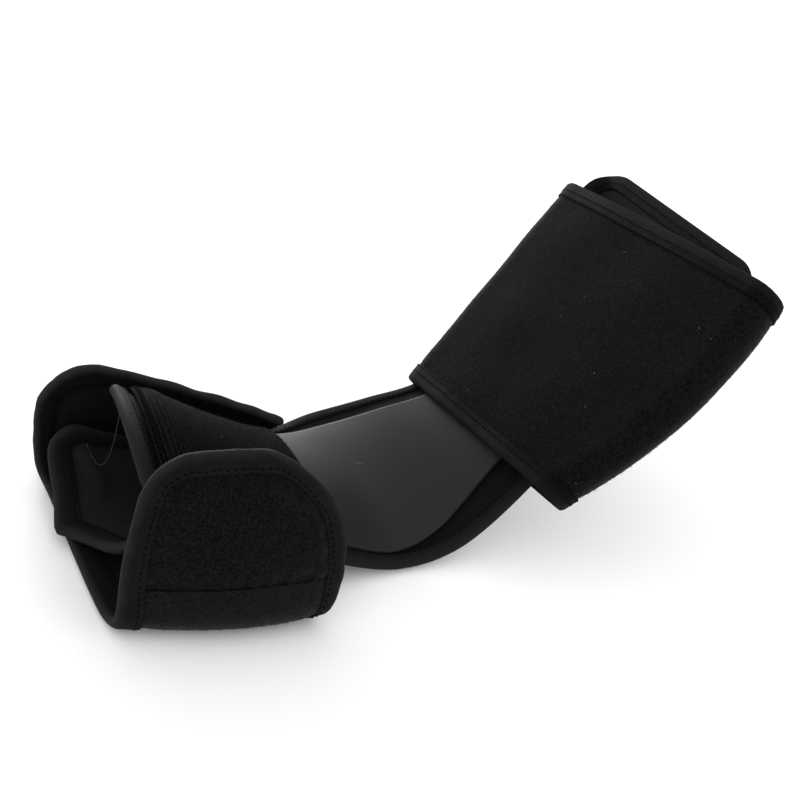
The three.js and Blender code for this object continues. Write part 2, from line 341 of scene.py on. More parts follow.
@dataclass(frozen=True)
class Lining(Finish):
    """Smooth fine knit over foam."""

    name: str = "lining_knit"
    slot: Slot = Slot.LINING
    dark: float = 0.0032
    light: float = 0.0072
    roughness: float = 0.62
    specular: float = 0.06
    sheen: float = 0.02
    knit: float = 0.75
    patch: float = 26.0
    depth: float = 0.12

    def paint(self, shader: Shader) -> None:
        """Paints the surface."""
        place = shader.cloth()
        across, along, _ = shader.parts(place)
        columns = (across * (math.tau / self.knit)).sine()
        courses = (along * (math.tau / (self.knit * 0.8))).sine()
        patches = shader.noise(place, self.patch)
        fuzz = shader.noise(place, self.knit)
        shader.feed("Base Color", self.toned(shader, patches * 0.75 + fuzz * 0.35 - 0.1))
        shader.feed("Roughness", self.roughness + patches * 0.16)
        shader.bump(columns * 0.25 + courses * 0.25 + fuzz, self.depth)


@dataclass(frozen=True)
class Tape(Finish):
    """Ribbed binding tape, its ribs across the edge: a painted highlight where it rolls over the edge,
    painted shade on its inner half where that is set, and gathered where it is sewn.
    """

    name: str = "ribbed_tape"
    slot: Slot = Slot.TAPE
    dark: float = 0.0015
    light: float = 0.0084
    roughness: float = 0.62
    specular: float = 0.03
    sheen: float = 0.01
    rib: float = 1.15
    wander: float = 6.0
    yarn: float = 0.7
    worn: float = 19.0
    # width of the painted highlight along the tape's rolled edge
    roll: float = 9.0
    gather: float = 3.6
    # how dark the painted shade on the tape's inner half is
    inner_shade: float = 0.0
    depth: float = 0.3

    def paint(self, shader: Shader) -> None:
        """Paints the surface."""
        place = shader.cloth()
        along, across, _ = shader.parts(place)
        wander = shader.noise(place, self.wander, 1.0)
        ribs = ((along + wander * 0.5) * (math.tau / self.rib)).sine() * 0.5 + 0.5
        yarn = shader.noise(shader.stretched(place, (1.0, 0.25, 1.0)), self.yarn)
        worn = shader.noise(place, self.worn)
        # painted highlight: the tape is lighter towards its rolled edge, where light catches the fold
        roll_highlight = (1 - abs(across) * (1 / self.roll)).above_zero()
        gathers = shader.noise(shader.stretched(place, (1.0, 0.2, 1.0)), self.gather, 1.0)
        # painted shade: the half of the tape that faces into a cuff is darkened
        inside = shader.math("MINIMUM", (across * 0.25 - 0.3).above_zero(), 1.0)
        tone = roll_highlight * 0.8 + ribs * 0.16 + yarn * 0.24 + worn * 0.3 - 0.2 - inside * self.inner_shade
        shader.feed("Base Color", self.toned(shader, tone))
        shader.feed("Roughness", self.roughness + worn * 0.12)
        shader.bump(ribs * 0.7 + yarn * 0.4 + gathers * (1 - roll_highlight) * 3, self.depth)


@dataclass(frozen=True)
class Plastic(Finish):
    """Dark grey moulded sheet: satin, very finely grained, with faint rubs and one small scratch."""

    name: str = "grained_plastic"
    slot: Slot = Slot.PLASTIC
    dark: float = 0.01
    light: float = 0.0131
    roughness: float = 0.4
    specular: float = 0.16
    grain: float = 0.5
    rub: float = 22.0
    depth: float = 0.03
    scratch: float = 0.2
    scratch_at: tuple[float, float] = (40.0, 128.0)
    scratch_length: float = 5.0
    scratch_width: float = 0.44
    scratch_lean: float = 0.35

    def paint(self, shader: Shader) -> None:
        """Paints the surface."""
        place = shader.cloth()
        across, along, _ = shader.parts(place)
        grain = shader.noise(place, self.grain)
        rubs = shader.noise(shader.stretched(place, (1.0, 0.35, 1.0)), self.rub, 3.0)
        from_middle = along - self.scratch_at[1]
        off_line = abs(across - self.scratch_at[0] - from_middle * self.scratch_lean)
        scratch = (off_line < self.scratch_width / 2) * (abs(from_middle) < self.scratch_length / 2)
        colour = self.toned(shader, grain * 0.4 + rubs * 0.6)
        shader.feed("Base Color", shader.mix(scratch * 0.35, colour, grey(self.scratch)))
        shader.feed("Roughness", self.roughness + rubs * 0.14 + grain * 0.05)
        shader.bump(grain + scratch * 0.5, self.depth)


@dataclass(frozen=True)
class Thread(Finish):
    """Twisted sewing thread."""

    name: str = "thread"
    slot: Slot = Slot.TAPE
    dark: float = 0.0005
    light: float = 0.0022
    twist: float = 0.7
    depth: float = 0.08

    def paint(self, shader: Shader) -> None:
        """Paints the surface."""
        along = shader.parts(shader.cloth())[0]
        twist = (along * (math.tau / self.twist)).sine() * 0.5 + 0.5
        shader.feed("Base Color", self.toned(shader, twist))
        shader.bump(twist, self.depth)


# Forms of bent walls


def laid_out(place: Array, nominal: float, real: Array) -> Array:
    """Lays places along a nominal length out on a real one: true near both ends, eased between."""
    true_ends = 12.0
    return place + (real - nominal) * eased(place, true_ends, nominal - true_ends)


def across_weights(share: Array) -> Array:
    """Gives the weights of three rails for shares of the way across, one row each."""
    first, last = (2 * share - 1) * (share - 1), share * (2 * share - 1)
    return np.column_stack([first, 4 * share * (1 - share), last])


def eased(value: Array, low: float, high: float) -> Array:
    """Rises smoothly from 0 at low to 1 at high."""
    share = np.clip((value - low) / (high - low), 0, 1)
    return share * share * (3 - 2 * share)


def unit(rows: Array) -> Array:
    """Scales each row to a length of one."""
    return rows / np.linalg.norm(rows, axis=1)[:, None]


def lengths_along(points: Array) -> Array:
    """Gives the length of a run of points up to each of them."""
    return np.concatenate([[0], np.cumsum(np.linalg.norm(np.diff(points, axis=0), axis=1))])


def closed(points: Array) -> Array:
    """Closes a run of points with its first one."""
    return np.vstack([points, points[:1]])


class Rail:
    """A smooth line through a few points."""

    def __init__(self, stations: Sequence[Point]) -> None:
        """Takes the points that the line goes through."""
        self.stations = np.array(stations, float)

    def at(self, share: Array) -> Array:
        """Finds points of the line.

        Args:
            share: How far along the stations each point is, from 0 to 1.

        Returns:
            The points, one row each.
        """
        ends = (2 * self.stations[0] - self.stations[1], 2 * self.stations[-1] - self.stations[-2])
        line = np.vstack([ends[0], self.stations, ends[1]])
        spans = len(self.stations) - 1
        spot = np.clip(share, 0, 1) * spans
        k = np.minimum(spot.astype(int), spans - 1)
        w = (spot - k)[:, None]
        a, b, c, d = (line[k + i] for i in range(4))
        spread = (np.linalg.norm(step, axis=1)[:, None] for step in (b - a, c - b, d - c))
        before, within, after = (np.sqrt(length) for length in spread)
        leave = ((b - a) / before - (c - a) / (before + within) + (c - b) / within) * within
        arrive = ((c - b) / within - (d - b) / (within + after) + (d - c) / after) * within
        bend = -3 * b + 3 * c - 2 * leave - arrive
        return b + leave * w + bend * w**2 + (2 * b - 2 * c + leave + arrive) * w**3

    def marks(self) -> Array:
        """Gives the line's length up to each station."""
        steps = 20
        count = (len(self.stations) - 1) * steps
        return lengths_along(self.at(np.linspace(0, 1, count + 1)))[::steps]


class Form(ABC):
    """The middle of a bent wall: a point for each place of its flat pattern."""

    width: float
    length: float

    @abstractmethod
    def points(self, places: Array) -> Array:
        """Finds the points for flat places, one row each."""

    def normals(self, places: Array) -> Array:
        """Finds the wall's upper side at flat places, one row each."""
        step = 0.2
        limits = np.array((self.width, self.length))
        spans = []
        for shift in (np.array((step, 0.0)), np.array((0.0, step))):
            ahead = self.points(np.clip(places + shift, 0, limits))
            behind = self.points(np.clip(places - shift, 0, limits))
            spans.append(ahead - behind)
        return unit(np.cross(*spans))

    def lifted(self, places: Array, heights: Array) -> Array:
        """Finds points at heights above the middle, one row for each flat place."""
        return self.points(places) + self.normals(places) * np.broadcast_to(heights, len(places))[:, None]


class RailForm(Form):
    """A form through three rails, curved like a parabola across them."""

    def __init__(self, table: Table, width: float, length: float, floor: float = -math.inf) -> None:
        """Sets the form up.

        Args:
            table: Its lines across the three rails, in order.
            width: The pattern's width, from the first rail to the last.
            length: The pattern's length along the rails.
            floor: The height under which it doesn't sink.
        """
        self.rails = [Rail([line[k] for line in table.values()]) for k in range(3)]
        self.rail_marks = np.array([rail.marks() for rail in self.rails])
        self.width = width
        self.length = length
        self.floor = floor

    def points(self, places: Array) -> Array:
        """Finds the points for flat places, one row each."""
        x, y = places.T
        marks = across_weights(x / self.width) @ self.rail_marks
        along = np.clip(laid_out(y, self.length, marks[:, -1]), 0, marks[:, -1])
        spans = marks.shape[1] - 1
        k = np.clip((marks <= along[:, None]).sum(1) - 1, 0, spans - 1)
        pick = np.arange(len(k))
        low = marks[pick, k]
        share = (k + (along - low) / (marks[pick, k + 1] - low)) / spans
        first, middle, last = (rail.at(share) for rail in self.rails)
        real = np.linalg.norm(first - middle, axis=1) + np.linalg.norm(middle - last, axis=1)
        weights = across_weights(laid_out(x, self.width, real) / real)
        points = weights[:, 0:1] * first + weights[:, 1:2] * middle + weights[:, 2:3] * last
        points[:, 2] = np.maximum(points[:, 2], self.floor)
        return points


class PlateForm(Form):
    """The plate's middle: lifted off the body, its sides drawn in towards the leg."""

    def __init__(self, body: "Body") -> None:
        """Takes the body's sizes."""
        self.body = body
        self.width = body.width - body.plate_far_inset - body.plate_near_inset
        self.length = body.plate_end - body.plate_start

    def points(self, places: Array) -> Array:
        """Finds the points for flat places, one row each."""
        body = self.body
        x, y = places.T
        along = body.plate_start + y
        share = eased(along, body.plate_leg_from, body.plate_leg_to)
        far = body.plate_far_inset + (body.plate_far_leg_inset - body.plate_far_inset) * share
        near_inset = body.plate_near_inset + (body.plate_near_leg_inset - body.plate_near_inset) * share
        across = far + (body.width - near_inset - far) * x / self.width
        return body.form.lifted(np.column_stack([across, along]), body.plate_height())


class PanelForm(Form):
    """The foot panel's middle: from the toe tape up over the plate's end, with a bowed end on the plate."""

    def __init__(self, body: "Body") -> None:
        """Takes the body's sizes."""
        self.body = body
        self.width = body.width - 2 * body.panel_inset
        self.length = body.panel_end - body.panel_start

    def points(self, places: Array) -> Array:
        """Finds the points for flat places, one row each."""
        body = self.body
        x, y = places.T
        low = BODY_WALL / 2 + LAYER_GAP + PANEL_WALL / 2
        high = body.plate_height() + PLATE_WALL / 2 + LAYER_GAP + PANEL_WALL / 2
        height = low + (high - low) * eased(y, 0, body.panel_rise_end)
        bow = body.panel_bow * (1 - (2 * x / self.width - 1) ** 2)
        on_body = np.column_stack([body.panel_inset + x, body.panel_start + y * (1 - bow / self.length)])
        return body.form.lifted(on_body, height)


class CurledForm(Form):
    """The body's form with its far edge curled up beside the ankle bend."""

    bend_at: float = 128.0
    bend_reach: float = 45.0
    strip: float = 17.0
    lift: float = 4.5

    def __init__(self, base: Form) -> None:
        """Takes the even form."""
        self.base = base
        self.width = base.width
        self.length = base.length

    def points(self, places: Array) -> Array:
        """Finds the points for flat places, one row each."""
        x, y = places.T
        share = np.exp(-(((y - self.bend_at) / self.bend_reach) ** 2)) * eased(self.strip - x, 0, self.strip)
        return self.base.lifted(places, self.lift * share)


class SoftForm(Form):
    """Another form with the slight waves of soft goods: short ones at its edges, long ones within."""

    waves: int = 5
    short: float = 13.0
    short_fade: float = 14.0
    long: float = 55.0
    still_below: float = WRAP_FLOOR + 1.0
    free_above: float = WRAP_FLOOR + 22.0

    def __init__(self, base: Form, pattern: "Pattern", ripple: float, swell: float, seed: int) -> None:
        """Sets the waves up.

        Args:
            base: The even form.
            pattern: Its flat pattern.
            ripple: The height of the short waves at the edges.
            swell: The height of the long waves.
            seed: Picks the waves.
        """
        self.base = base
        self.pattern = pattern
        self.width = base.width
        self.length = base.length
        self.ripple = ripple
        self.swell = swell
        self.seed = seed

    def wave(self, places: Array, size: float, shift: int) -> Array:
        """Sums a few sine waves of about one size over flat places."""
        dice = np.random.default_rng(self.seed + shift)
        total = np.zeros(len(places))
        for _ in range(self.waves):
            heading = dice.uniform(0, math.tau)
            step = math.tau / (size * dice.uniform(0.7, 1.5))
            way = np.array((math.cos(heading), math.sin(heading))) * step
            total += np.sin(places @ way + dice.uniform(0, math.tau))
        return total / self.waves

    def points(self, places: Array) -> Array:
        """Finds the points for flat places, one row each."""
        points = self.base.points(places)
        clear = eased(points[:, 2], self.still_below, self.free_above)
        return points + self.base.normals(places) * (self.height(places) * clear)[:, None]

    def height(self, places: Array) -> Array:
        """Gives the height of the waves at flat places."""
        fade = np.exp(-np.maximum(self.pattern.depth(places), 0) / self.short_fade)
        ripples = self.ripple * self.wave(places, self.short, 1) * fade
        return ripples + self.swell * self.wave(places, self.long, 2)


class CreasedForm(SoftForm):
    """The inner wrap's waves, with a padded ridge beside its toe edge and a pinched crease at the bottom."""

    ridge_at: float = 17.0
    ridge_bow: float = 6.0
    ridge_bow_at: float = 103.0
    ridge_bow_reach: float = 12.0
    ridge_width: float = 3.8
    ridge_height: float = 6.5
    ridge_from: float = 81.0
    ridge_to: float = 131.0
    ridge_fade: float = 15.0
    crease_at: float = 77.0
    crease_width: float = 6.0
    crease_reach: float = 17.0
    crease_pull: Point = (-3.2, -1.0, -1.6)

    def height(self, places: Array) -> Array:
        """Gives the height of the waves and the ridge at flat places."""
        along = places[:, 1]
        bow = np.exp(-(((along - self.ridge_bow_at) / self.ridge_bow_reach) ** 2))
        off_ridge = (places[:, 0] - self.ridge_at - self.ridge_bow * bow) / self.ridge_width
        risen = eased(along, self.ridge_from, self.ridge_from + self.ridge_fade)
        risen = risen * (1 - eased(along, self.ridge_to - self.ridge_fade, self.ridge_to))
        return super().height(places) + self.ridge_height * np.exp(-(off_ridge**2)) * risen

    def points(self, places: Array) -> Array:
        """Finds the points for flat places, one row each."""
        off_crease = np.abs(places[:, 1] - self.crease_at) / self.crease_width
        share = np.exp(-off_crease) * np.exp(-((places[:, 0] / self.crease_reach) ** 2))
        return super().points(places) + share[:, None] * np.array(self.crease_pull)


# Flat patterns and the meshes made from them


@dataclass(frozen=True)
class Pattern:
    """A flat rounded rectangle; its corners run round from the start of both sides."""

    width: float
    length: float
    corners: tuple[float, float, float, float]
    tape: float = 11.0
    spacing: float = 2.2

    def side(self, start: Array, end: Array, radii: tuple[float, float], outward: Array) -> Array:
        """Lays places along one side: half an arc, a straight stretch and half an arc.

        Args:
            start: The side's first sharp corner.
            end: Its last sharp corner.
            radii: The radii at both.
            outward: The way out of the pattern.

        Returns:
            The places in order, as many for every inset.
        """
        arc_steps = 8
        run = np.linalg.norm(end - start)
        way = (end - start) / run
        turns = np.linspace(math.pi / 4, 0, arc_steps, endpoint=False)
        first = start + way * radii[0] - outward * radii[0]
        last = end - way * radii[1] - outward * radii[1]
        along, out = np.outer(np.sin(turns), way), np.outer(np.cos(turns), outward)
        opening = first + radii[0] * (out - along)
        closing = (last + radii[1] * (out + along))[::-1]
        straight_steps = max(4, round(max(self.width, self.length) / self.spacing / 2))
        shares = np.linspace(0, 1, straight_steps + 1)[:, None]
        straight = (start + way * radii[0]) * (1 - shares) + (end - way * radii[1]) * shares
        return np.vstack([opening, straight, closing])

    def sides(self, inset: float) -> tuple[Array, Array, Array, Array]:
        """Gives the start, last, end and first sides, stepped in by an inset."""
        low, wide, long = inset, self.width - inset, self.length - inset
        a, b, c, d = (np.array(p) for p in ((low, low), (wide, low), (wide, long), (low, long)))
        r = [max(radius - inset, 1.5) for radius in self.corners]
        return (
            self.side(a, b, (r[0], r[1]), np.array((0.0, -1.0))),
            self.side(b, c, (r[1], r[2]), np.array((1.0, 0.0))),
            self.side(d, c, (r[3], r[2]), np.array((0.0, 1.0))),
            self.side(a, d, (r[0], r[3]), np.array((-1.0, 0.0))),
        )

    def fill(self, s: Array, t: Array, inset: float) -> Array:
        """Fills the pattern between its four sides.

        Args:
            s: Shares of the way from the first side to the last.
            t: Shares of the way from the start side to the end.
            inset: How far the sides are stepped in.

        Returns:
            The places, one row each.
        """
        start, last, end, first = (self.resampled(side) for side in self.sides(inset))
        p, q = s[:, None], t[:, None]
        edges = (1 - p) * first(t) + p * last(t) + (1 - q) * start(s) + q * end(s)
        low = (1 - p) * start(0 * s) + p * start(0 * s + 1)
        high = (1 - p) * end(0 * s) + p * end(0 * s + 1)
        return edges - (1 - q) * low - q * high

    def resampled(self, side: Array) -> Any:
        """Gives a function that finds places by their share of a side's length."""
        lengths = lengths_along(side)
        shares = lengths / lengths[-1]
        return lambda share: np.column_stack([np.interp(share, shares, side[:, k]) for k in (0, 1)])

    def grid(self, inset: float) -> Array:
        """Gives a net of places over the whole pattern, by row and column."""
        columns = round(self.width / self.spacing)
        rows = round(self.length / self.spacing)
        s, t = np.meshgrid(np.linspace(0, 1, columns + 1), np.linspace(0, 1, rows + 1))
        return self.fill(s.ravel(), t.ravel(), inset).reshape(rows + 1, columns + 1, 2)

    def loop(self, inset: float) -> Array:
        """Gives the closed run of places round the pattern."""
        start, last, end, first = self.sides(inset)
        return np.vstack([start[:-1], last[:-1], end[1:][::-1], first[1:][::-1]])

    def depth(self, places: Array) -> Array:
        """Gives how far places lie inside the outline."""
        half = np.array((self.width, self.length)) / 2
        off = places - half
        a, b, c, d = self.corners
        low_radius = np.where(off[:, 0] > 0, b, a)
        high_radius = np.where(off[:, 0] > 0, c, d)
        radius = np.where(off[:, 1] > 0, high_radius, low_radius)[:, None]
        past = np.abs(off) - half + radius
        outside = np.linalg.norm(np.maximum(past, 0), axis=1)
        return radius[:, 0] - outside - np.minimum(past.max(1), 0)


class Skin(NamedTuple):
    """A mesh in the making."""

    points: Array
    faces: Array
    cloth: Array
    paints: Array


def in_row(points: Array) -> Array:
    """Turns millimetres in the bend's frame into metres in the row's."""
    return (points + BEND_IN_ROW) * MM


def linked(name: str, data: bpy.types.ID) -> bpy.types.Object:
    """Puts a new object into the scene."""
    made = bpy.data.objects.new(name, data)
    bpy.context.scene.collection.objects.link(made)
    return made


def write_cloth(mesh: bpy.types.Mesh, flat: Array) -> None:
    """Stores the place on the flat pattern, in millimetres, at each face corner."""
    stored = mesh.attributes.new(CLOTH, "FLOAT_VECTOR", "CORNER")
    stored.data.foreach_set("vector", flat.astype(np.float32).ravel())


def apply_modifier(piece: bpy.types.Object, name: str) -> None:
    """Applies one of a piece's modifiers."""
    bpy.ops.object.select_all(action="DESELECT")
    piece.select_set(True)
    bpy.context.view_layer.objects.active = piece
    bpy.ops.object.modifier_apply(modifier=name)


def made_object(name: str, skin: Skin, finishes: Sequence[Finish]) -> bpy.types.Object:
    """Makes a smooth mesh object in the row's frame.

    Args:
        name: The piece's name.
        skin: Its points and faces, with a flat place for each face corner and a finish number for each face.
        finishes: The finishes that the numbers pick.

    Returns:
        The new object.
    """
    mesh = bpy.data.meshes.new(name)
    mesh.from_pydata(in_row(skin.points).tolist(), [], skin.faces.tolist())
    write_cloth(mesh, skin.cloth)
    for finish in finishes:
        mesh.materials.append(finish.material())
    mesh.polygons.foreach_set("material_index", skin.paints.astype(np.int32))
    mesh.shade_smooth()
    mesh.update()
    return linked(name, mesh)


def settle(piece: bpy.types.Object, slot: Slot, *nodes: str) -> bpy.types.Object:
    """Ties a finished piece to the part.

    Args:
        piece: The piece.
        slot: Not used.
        nodes: The solids that it stands for.

    Returns:
        The same piece.
    """
    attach(piece, ROOT)
    if nodes:
        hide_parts(*nodes)
    LOG.info("%s: %d faces", piece.name, len(piece.data.polygons))
    return piece


def trimming(name: str, skin: Skin, finish: Finish, *nodes: str) -> bpy.types.Object:
    """Makes a piece of one finish and ties it to the part."""
    return settle(made_object(name, skin, (finish,)), finish.slot, *nodes)


def outward(points: Array, faces: Array) -> bool:
    """Tells whether a closed mesh's faces point outwards."""
    first, second, third = (points[faces[:, k]] for k in range(3))
    fan = (first * np.cross(second, third)).sum()
    if faces.shape[1] == 4:
        fan += (first * np.cross(third, points[faces[:, 3]])).sum()
    return fan > 0


def wall(net: Array, form: Form, upper: Array, lower: Array) -> Skin:
    """Closes a wall between two lifted copies of a net of places.

    Args:
        net: The places by row and column.
        form: The wall's middle.
        upper: The height of the upper face at each place.
        lower: The height of the lower face.

    Returns:
        The wall, with finish 0 above and 1 below.
    """
    rows, columns = net.shape[:2]
    places = net.reshape(-1, 2)
    middles = form.points(places)
    normals = form.normals(places)
    points = np.vstack([middles + normals * height.reshape(-1, 1) for height in (upper, lower)])
    below = rows * columns
    spot = np.arange(below).reshape(rows, columns)
    quads = np.stack([spot[:-1, :-1], spot[:-1, 1:], spot[1:, 1:], spot[1:, :-1]], -1).reshape(-1, 4)
    under = quads[:, ::-1] + below
    rim = np.concatenate([spot[0, :-1], spot[:-1, -1], spot[-1, :0:-1], spot[:0:-1, 0]])
    after = np.roll(rim, -1)
    edge = np.column_stack([rim, rim + below, after + below, after])
    faces = np.vstack([quads, under, edge])
    paints = np.concatenate([np.zeros(len(quads)), np.ones(len(under)), np.zeros(len(edge))])
    far_level = 40.0
    flat = np.vstack([np.column_stack([places, 0 * places[:, 0] + level]) for level in (0.0, far_level)])
    return Skin(points, faces, flat[faces], paints)


@dataclass(frozen=True)
class TapeCut:
    """The cross-section of a tape folded over an edge."""

    skin: float = 0.7
    nose: float = 3.2
    lip: float = 0.9

    def outline(self, half: float, end: float) -> Array:
        """Gives the section's insets and heights, once round.

        Args:
            half: Half the thickness of the wall that the tape binds.
            end: How far the tape reaches in from the edge.

        Returns:
            One row for each point.
        """
        top = half + TAPE_PROUD
        turns = np.radians(np.linspace(90, -90, 13))[:, None]
        nose = np.hstack([self.nose * (1 - np.cos(turns)), top * np.sin(turns)])
        hollow = self.nose - self.skin
        inner_top = top - self.skin
        inside = np.hstack([self.skin + hollow * (1 - np.cos(turns)), inner_top * np.sin(turns)])[::-1]
        halfway = (end + self.nose) / 2
        brow = [(end, top - 0.5 * self.skin), (end - 0.35 * self.lip, top - 0.1)]
        brow += [(end - 1.2 * self.lip, top), (halfway, top)]
        chin = [(inset, -height) for inset, height in brow[::-1]]
        floor = [(end, -inner_top), (halfway, -inner_top)]
        roof = [(halfway, inner_top), (end, inner_top)]
        return np.vstack([brow, nose, chin, floor, inside, roof])


def tape_skin(pattern: Pattern, form: Form, half: float) -> Skin:
    """Folds a tape over a wall's edge, all the way round.

    Args:
        pattern: The wall's flat pattern.
        form: The wall's middle.
        half: Half the wall's thickness.

    Returns:
        The tape.
    """
    section = TapeCut().outline(half, pattern.tape)
    loops = [pattern.loop(inset) for inset, _ in section]
    places = np.vstack(loops)
    heights = np.repeat(section[:, 1], len(loops[0]))
    points = form.lifted(places, heights)
    around, count = len(section), len(loops[0])
    along = lengths_along(closed(form.points(pattern.loop(0.0))))
    across = lengths_along(closed(section))
    across -= across[section[:, 0].argmin()]
    spot = np.arange(around * count).reshape(around, count)
    next_spot = np.roll(spot, -1, axis=1)
    under, next_under = np.roll(spot, -1, axis=0), np.roll(next_spot, -1, axis=0)
    faces = np.stack([spot, next_spot, next_under, under], -1).reshape(-1, 4)
    a, b = np.meshgrid(np.arange(count), np.arange(around))
    corners = [(along[a + i], across[b + j]) for i, j in ((0, 0), (1, 0), (1, 1), (0, 1))]
    cloth = np.stack([np.stack([x, y, 0 * x], -1) for x, y in corners], 2).reshape(-1, 4, 3)
    if not outward(points, faces):
        faces, cloth = faces[:, ::-1], cloth[:, ::-1]
    return Skin(points, faces, cloth, np.zeros(len(faces)))


@dataclass(frozen=True)
class Stitch:
    """One sewn stitch and how far apart stitches lie."""

    length: float = 2.3
    pitch: float = 3.3
    width: float = 0.62
    height: float = 0.42
    least_height: float = 1.0

    def row(self, form: Form, run: Array, height: float) -> Skin:
        """Sews a row of stitches all the way round.

        Args:
            form: The wall's middle.
            run: The flat places that the row follows.
            height: How high over the middle the stitches lie; below zero on the lower face.

        Returns:
            The stitches as one mesh.
        """
        line = closed(run)
        marks = lengths_along(form.points(line))
        count = max(2, int(marks[-1] / self.pitch))
        middles = (np.arange(count) + 0.5) * marks[-1] / count
        ends = [middles - self.length / 2, middles + self.length / 2]
        flat = [np.column_stack([np.interp(end, marks, line[:, k]) for k in (0, 1)]) for end in ends]
        return self.between(form, flat[0], flat[1], height)

    def between(self, form: Form, starts: Array, ends: Array, height: float) -> Skin:
        """Sews one stitch between each pair of flat places that is clear of the floor.

        Args:
            form: The wall's middle.
            starts: Where each stitch comes up.
            ends: Where it goes down.
            height: How high over the middle the stitches lie.

        Returns:
            The stitches as one mesh.
        """
        off_floor = form.lifted((starts + ends) / 2, height)[:, 2] > self.least_height
        starts, ends = starts[off_floor], ends[off_floor]
        up = form.normals((starts + ends) / 2) * np.sign(height)
        first, last = (form.points(p) + up * abs(height) for p in (starts, ends))
        way = last - first
        side = unit(np.cross(way, up))
        rings = ((0.0, 0.3, -0.6), (0.2, 0.85, 0.0), (0.5, 1.0, 0.25), (0.8, 0.85, 0.0), (1.0, 0.3, -0.6))
        around = 6
        turns = np.arange(around) * math.tau / around
        shape = []
        for share, girth, rise in rings:
            for turn in turns:
                off_side = girth * self.width / 2 * math.cos(turn) * side
                off_up = (girth * self.height * math.sin(turn) + rise * self.height) * up
                shape.append(first + share * way + off_side + off_up)
        per = len(shape)
        points = np.stack(shape, 1).reshape(-1, 3)
        spot = np.arange(per).reshape(len(rings), around)
        beside = np.roll(spot, -1, axis=1)
        quads = np.stack([spot[:-1], beside[:-1], beside[1:], spot[1:]], -1).reshape(-1, 4)
        caps = np.array([[0, 5, 4, 3], [3, 2, 1, 0]])
        caps = np.vstack([caps, (caps + per - around)[:, ::-1]])
        one = np.vstack([quads, caps])
        faces = (one[None] + (np.arange(len(starts)) * per)[:, None, None]).reshape(-1, 4)
        if not outward(points, faces):
            faces = faces[:, ::-1]
        reach = np.repeat(np.array([ring[0] for ring in rings]), around) * self.length
        number = np.repeat(np.arange(len(starts)), per)
        cloth = np.column_stack([np.tile(reach, len(starts)), number, 0 * number])
        return Skin(points, faces, cloth[faces], np.zeros(len(faces)))


def joined(skins: Sequence[Skin]) -> Skin:
    """Joins meshes in the making into one."""
    starts = np.concatenate([[0], np.cumsum([len(skin.points) for skin in skins])])
    faces = np.vstack([skin.faces + start for skin, start in zip(skins, starts)])
    points = np.vstack([skin.points for skin in skins])
    cloth = np.vstack([skin.cloth for skin in skins])
    return Skin(points, faces, cloth, np.concatenate([skin.paints for skin in skins]))


@dataclass(frozen=True)
class Pile:
    """Loose fibre ends on a plush face."""

    density: float = 0.5
    length: float = 1.15
    width: float = 0.24
    least_height: float = 7.0
    off_tape: float = 0.4
    sunk: float = 0.1
    leans: tuple[float, float] = (0.3, 1.2)
    sizes: tuple[float, float] = (0.6, 1.3)

    def grow(self, panel: "BoundPanel", seed: int) -> Skin:
        """Scatters the fibres over a panel's upper face.

        Args:
            panel: The panel that carries them.
            seed: Picks their places.

        Returns:
            The fibres as one mesh of narrow blades.
        """
        dice = np.random.default_rng(seed)
        pattern = panel.pattern
        count = int(pattern.width * pattern.length * self.density)
        places = dice.uniform((0, 0), (pattern.width, pattern.length), (count, 2))
        depth = pattern.depth(places)
        keep = (depth > pattern.tape + self.off_tape) & (panel.form.points(places)[:, 2] > self.least_height)
        places, depth = places[keep], depth[keep]
        normals = panel.form.normals(places)
        roots = panel.form.points(places) + normals * (panel.half_at(depth)[:, None] - self.sunk)
        spread = dice.normal(0, 1, roots.shape)
        spread = unit(spread - normals * (spread * normals).sum(1)[:, None])
        lean = dice.uniform(*self.leans, len(roots))[:, None]
        size = self.length * dice.uniform(*self.sizes, len(roots))[:, None]
        tips = roots + (normals * np.cos(lean) + spread * np.sin(lean)) * size
        across = np.cross(normals, spread) * self.width / 2
        points = np.stack([roots - across, roots + across, tips], 1).reshape(-1, 3)
        faces = np.arange(len(points)).reshape(-1, 3)
        flat = np.repeat(np.column_stack([places, 0 * depth]), 3, axis=0)
        return Skin(points, faces, flat[faces], np.zeros(len(faces)))


# Padded fabric


@dataclass(frozen=True)
class Stuffing:
    """How a padded panel swells inside its bound edge, and below which heights it lies pressed flat."""

    pressure: float = 3.0
    growth: float = 0.02
    bending: float = 2.0
    quality: int = 6
    frames: int = 16
    most: float = 1.1
    lying: tuple[float, float] = (18.0, 42.0)

    def swell(self, piece: bpy.types.Object, held: Array) -> None:
        """Puffs a panel up by cloth simulation, its bound edge held.

        Args:
            piece: The panel, as a closed mesh.
            held: How firmly each point is held, from 0 to 1.
        """
        before = np.array([v.co for v in piece.data.vertices])
        group = piece.vertex_groups.new(name="held")
        for weight in np.unique(held):
            group.add(np.flatnonzero(held == weight).tolist(), float(weight), "REPLACE")
        cloth = piece.modifiers.new("stuffing", "CLOTH")
        settings = cloth.settings
        settings.vertex_group_mass = group.name
        settings.use_pressure = True
        settings.uniform_pressure_force = self.pressure
        settings.shrink_min = -self.growth
        settings.effector_weights.gravity = 0
        settings.bending_stiffness = self.bending
        settings.quality = self.quality
        scene = bpy.context.scene
        for step in range(1, self.frames + 1):
            scene.frame_set(step)
        apply_modifier(piece, cloth.name)
        scene.frame_set(1)
        after = np.array([v.co for v in piece.data.vertices])
        moved = after - before
        far = np.linalg.norm(moved, axis=1)[:, None]
        after = before + moved * np.minimum(1, self.most * MM / np.maximum(far, 1e-9))
        after[:, 2] = np.maximum(after[:, 2], np.minimum(before[:, 2], TAPE_PROUD * MM))
        piece.data.vertices.foreach_set("co", after.astype(np.float32).ravel())
        piece.data.update()


def refined(piece: bpy.types.Object) -> None:
    """Rounds a piece with one applied level of subdivision."""
    smooth = piece.modifiers.new("round", "SUBSURF")
    smooth.levels = 1
    apply_modifier(piece, smooth.name)


